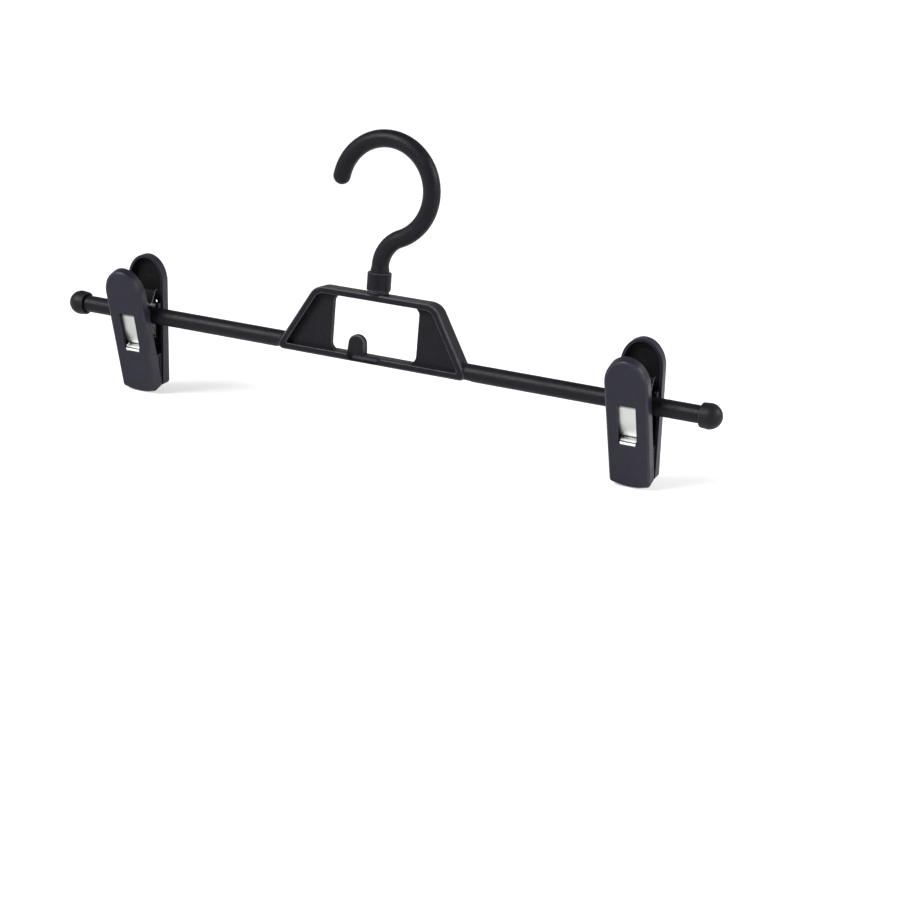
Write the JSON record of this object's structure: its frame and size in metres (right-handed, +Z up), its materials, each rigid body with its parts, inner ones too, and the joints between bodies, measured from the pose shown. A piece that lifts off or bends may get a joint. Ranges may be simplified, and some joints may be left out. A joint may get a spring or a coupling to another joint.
{
  "type": "clip hanger",
  "caption": "Trouser and skirt hanger with a straight bar, a windowed bracket, a swivel hook and sprung clips that slide along the bar.",
  "frame": {"origin": "where the rail meets the top of the hook's inside, on the swivel axis", "axes": "+X along the bar to the right, +Y to the back, +Z up along the swivel axis"},
  "size_m": [0.3336, 0.0368, 0.1421],
  "materials": {
    "frame_plastic": "satin black moulded plastic",
    "cap_plastic": "satin black moulded plastic",
    "hook_plastic": "satin black moulded plastic",
    "jaw_plastic": "satin dark grey moulded plastic with a faint violet tint",
    "spring_steel": "bright rolled spring steel strip"
  },
  "bodies": {
    "hook": {"hook": "hook_plastic"},
    "frame": {"hanger_frame": "frame_plastic", "end_cap_left": "cap_plastic", "end_cap_right": "cap_plastic"},
    "slider_left": {"spring_left": "spring_steel"},
    "back_jaw_left": {"back_jaw_left": "jaw_plastic"},
    "front_jaw_left": {"front_jaw_left": "jaw_plastic"},
    "slider_right": {"spring_right": "spring_steel"},
    "back_jaw_right": {"back_jaw_right": "jaw_plastic"},
    "front_jaw_right": {"front_jaw_right": "jaw_plastic"}
  },
  "joints": [
    {"name": "swivel", "type": "hinge", "parent": "hook", "child": "frame", "pos_m": [0, 0, -0.0656], "axis": [0, 0, 1], "continuous": true},
    {"name": "clip_slide_left", "type": "slide", "parent": "frame", "child": "slider_left", "axis": [1, 0, 0], "range_m": [-0.0199, 0.067]},
    {"name": "clip_turn_left", "type": "hinge", "parent": "slider_left", "child": "back_jaw_left", "pos_m": [-0.1273, 0, -0.0948], "axis": [1, 0, 0], "continuous": true, "deforming": ["spring_left"]},
    {"name": "clip_open_left", "type": "hinge", "parent": "back_jaw_left", "child": "front_jaw_left", "pos_m": [-0.1273, 0, -0.0948], "axis": [-1, 0, 0], "range_deg": [0, 28], "stiffness_Nm_per_rad": 0.12, "springref_deg": -34.38, "deforming": ["spring_left"]},
    {"name": "clip_slide_right", "type": "slide", "parent": "frame", "child": "slider_right", "axis": [1, 0, 0], "range_m": [-0.067, 0.0199]},
    {"name": "clip_turn_right", "type": "hinge", "parent": "slider_right", "child": "back_jaw_right", "pos_m": [0.1273, 0, -0.0948], "axis": [1, 0, 0], "continuous": true, "deforming": ["spring_right"]},
    {"name": "clip_open_right", "type": "hinge", "parent": "back_jaw_right", "child": "front_jaw_right", "pos_m": [0.1273, 0, -0.0948], "axis": [-1, 0, 0], "range_deg": [0, 28], "stiffness_Nm_per_rad": 0.12, "springref_deg": -34.38, "deforming": ["spring_right"]}
  ]
}
